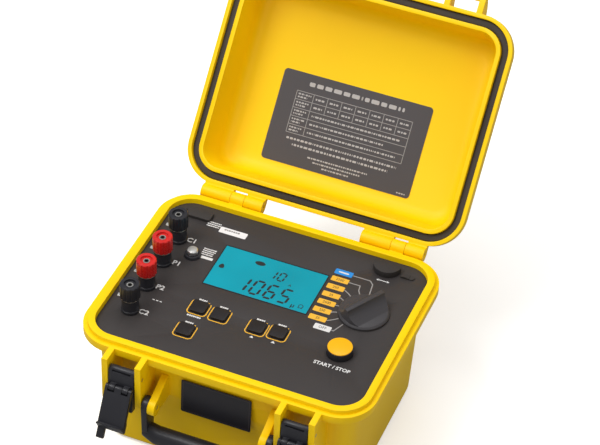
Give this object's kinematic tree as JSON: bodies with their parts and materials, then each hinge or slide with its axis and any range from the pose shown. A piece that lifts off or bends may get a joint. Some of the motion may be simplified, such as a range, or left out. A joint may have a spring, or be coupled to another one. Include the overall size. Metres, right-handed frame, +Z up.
{
  "type": "four terminal resistance tester",
  "caption": "Portable four-terminal resistance tester in a sealed drafted case: open lid on rear hinges, draw latches, front handle, panel with display, selector, keys and binding posts.",
  "frame": {"origin": "centre of the case's floor, under the middle of its flange", "axes": "+X to the right of the panel, +Y to the hinges at the rear, +Z up"},
  "size_m": [0.27, 0.4328, 0.3083],
  "materials": {
    "case_yellow": "satin moulded plastic",
    "panel_dark": "fine matt",
    "display_blue": "smooth",
    "disc_yellow": "smooth",
    "cap_red": "smooth",
    "rubber_dark": "matt",
    "metal_plain": "plated",
    "cap_silver": "satin",
    "board_green": "coated board",
    "battery_sleeve": "shrink sleeve",
    "fuse_ceramic": "glazed",
    "plastic_dark": "satin"
  },
  "bodies": {
    "case": {"base_shell": "case_yellow", "hinge_pins": "metal_plain", "case_feet": "rubber_dark", "case_screws": "metal_plain", "front_panel": "panel_dark", "display_window": "display_blue", "display_module": "board_green", "main_board": "board_green", "keypad_mat": "rubber_dark", "battery_tray": "plastic_dark", "battery_pack": "battery_sleeve", "rotary_switch": "plastic_dark", "start_switch": "plastic_dark", "post_c1": "metal_plain", "post_p1": "metal_plain", "post_p2": "metal_plain", "post_c2": "metal_plain", "collar_c1": "plastic_dark", "collar_p1": "plastic_dark", "collar_p2": "plastic_dark", "collar_c2": "plastic_dark", "terminal_nuts": "metal_plain", "fuse_holder": "plastic_dark", "fuse_cartridge": "fuse_ceramic", "charging_socket": "plastic_dark", "data_socket": "metal_plain", "cap_anchors": "rubber_dark", "handle_pins": "metal_plain", "latch_pins": "metal_plain"},
    "lid": {"lid_shell": "case_yellow", "lid_gasket": "rubber_dark"},
    "selector": {"selector_knob": "plastic_dark", "selector_shaft": "metal_plain"},
    "start": {"start_button": "plastic_dark", "start_disc": "disc_yellow"},
    "fuse_cap": {"fuse_cap": "cap_silver"},
    "charging_cap": {"charging_cap": "rubber_dark"},
    "data_cap": {"data_cap": "rubber_dark"},
    "handle": {"handle": "plastic_dark"},
    "key_1": {"key_1": "plastic_dark"},
    "key_2": {"key_2": "plastic_dark"},
    "key_3": {"key_3": "plastic_dark"},
    "key_4": {"key_4": "plastic_dark"},
    "key_5": {"key_5": "plastic_dark"},
    "washer_c1": {"washer_c1": "metal_plain"},
    "cap_c1": {"cap_c1": "plastic_dark"},
    "washer_p1": {"washer_p1": "metal_plain"},
    "cap_p1": {"cap_p1": "cap_red"},
    "washer_p2": {"washer_p2": "metal_plain"},
    "cap_p2": {"cap_p2": "cap_red"},
    "washer_c2": {"washer_c2": "metal_plain"},
    "cap_c2": {"cap_c2": "plastic_dark"},
    "latch_link_left": {"latch_link_left": "plastic_dark", "lever_pin_left": "metal_plain"},
    "latch_lever_left": {"latch_lever_left": "plastic_dark"},
    "latch_link_right": {"latch_link_right": "plastic_dark", "lever_pin_right": "metal_plain"},
    "latch_lever_right": {"latch_lever_right": "plastic_dark"}
  },
  "joints": [
    {"name": "lid_hinge", "type": "hinge", "parent": "case", "child": "lid", "pos_m": [0, 0.1143, 0.13], "axis": [-1, 0, 0], "range_deg": [-131.2, 0]},
    {"name": "latch_swing_left", "type": "hinge", "parent": "case", "child": "latch_link_left", "pos_m": [-0.0798, -0.1176, 0.115], "axis": [-1, 0, 0], "range_deg": [-8.4, 0]},
    {"name": "latch_hook_left", "type": "hinge", "parent": "latch_link_left", "child": "latch_lever_left", "pos_m": [-0.0798, -0.12568, 0.10406], "axis": [1, 0, 0], "range_deg": [-158.4, 0]},
    {"name": "latch_swing_right", "type": "hinge", "parent": "case", "child": "latch_link_right", "pos_m": [0.0798, -0.1176, 0.115], "axis": [-1, 0, 0], "range_deg": [-8.4, 0]},
    {"name": "latch_hook_right", "type": "hinge", "parent": "latch_link_right", "child": "latch_lever_right", "pos_m": [0.0798, -0.12568, 0.10406], "axis": [1, 0, 0], "range_deg": [-158.4, 0]},
    {"name": "handle_swing", "type": "hinge", "parent": "case", "child": "handle", "pos_m": [0, -0.1165, 0.086], "axis": [-1, 0, 0], "range_deg": [0, 95]},
    {"name": "selector_turn", "type": "hinge", "parent": "case", "child": "selector", "pos_m": [0.0858, 0.0222, 0.1295], "axis": [0, 0, 1], "range_deg": [-140, 0]},
    {"name": "start_press", "type": "slide", "parent": "case", "child": "start", "axis": [0, 0, -1], "range_m": [0, 0.001], "stiffness_N_per_m": 600, "springref_m": -0.0005},
    {"name": "key_1_press", "type": "slide", "parent": "case", "child": "key_1", "axis": [0, 0, -1], "range_m": [0, 0.001], "stiffness_N_per_m": 400, "springref_m": -0.0005},
    {"name": "key_2_press", "type": "slide", "parent": "case", "child": "key_2", "axis": [0, 0, -1], "range_m": [0, 0.001], "stiffness_N_per_m": 400, "springref_m": -0.0005},
    {"name": "key_3_press", "type": "slide", "parent": "case", "child": "key_3", "axis": [0, 0, -1], "range_m": [0, 0.001], "stiffness_N_per_m": 400, "springref_m": -0.0005},
    {"name": "key_4_press", "type": "slide", "parent": "case", "child": "key_4", "axis": [0, 0, -1], "range_m": [0, 0.001], "stiffness_N_per_m": 400, "springref_m": -0.0005},
    {"name": "key_5_press", "type": "slide", "parent": "case", "child": "key_5", "axis": [0, 0, -1], "range_m": [0, 0.001], "stiffness_N_per_m": 400, "springref_m": -0.0005},
    {"name": "washer_lift_c1", "type": "slide", "parent": "case", "child": "washer_c1", "axis": [0, 0, 1], "range_m": [0, 0.0025]},
    {"name": "cap_turn_c1", "type": "hinge", "parent": "washer_c1", "child": "cap_c1", "pos_m": [-0.1015, 0.0445, 0.1453], "axis": [0, 0, 1], "range_deg": [0, 720]},
    {"name": "washer_lift_p1", "type": "slide", "parent": "case", "child": "washer_p1", "axis": [0, 0, 1], "range_m": [0, 0.0025]},
    {"name": "cap_turn_p1", "type": "hinge", "parent": "washer_p1", "child": "cap_p1", "pos_m": [-0.1015, 0.011, 0.1453], "axis": [0, 0, 1], "range_deg": [0, 720]},
    {"name": "washer_lift_p2", "type": "slide", "parent": "case", "child": "washer_p2", "axis": [0, 0, 1], "range_m": [0, 0.0025]},
    {"name": "cap_turn_p2", "type": "hinge", "parent": "washer_p2", "child": "cap_p2", "pos_m": [-0.1015, -0.0225, 0.1453], "axis": [0, 0, 1], "range_deg": [0, 720]},
    {"name": "washer_lift_c2", "type": "slide", "parent": "case", "child": "washer_c2", "axis": [0, 0, 1], "range_m": [0, 0.0025]},
    {"name": "cap_turn_c2", "type": "hinge", "parent": "washer_c2", "child": "cap_c2", "pos_m": [-0.1015, -0.056, 0.1453], "axis": [0, 0, 1], "range_deg": [0, 720]},
    {"name": "fuse_cap_turn", "type": "hinge", "parent": "case", "child": "fuse_cap", "pos_m": [-0.0811, 0.0301, 0.132], "axis": [0, 0, 1], "range_deg": [0, 90]},
    {"name": "charging_cap_open", "type": "hinge", "parent": "case", "child": "charging_cap", "pos_m": [-0.11, 0.0815, 0.1295], "axis": [0, -1, 0], "range_deg": [0, 110]},
    {"name": "data_cap_open", "type": "hinge", "parent": "case", "child": "data_cap", "pos_m": [0.098, 0.0795, 0.1295], "axis": [0, 1, 0], "range_deg": [0, 100]}
  ],
  "couplings": [
    {"joint": "cap_turn_c1", "follows": "washer_lift_c1", "rad_per_m": 5026},
    {"joint": "cap_turn_p1", "follows": "washer_lift_p1", "rad_per_m": 5026},
    {"joint": "cap_turn_p2", "follows": "washer_lift_p2", "rad_per_m": 5026},
    {"joint": "cap_turn_c2", "follows": "washer_lift_c2", "rad_per_m": 5026}
  ]
}
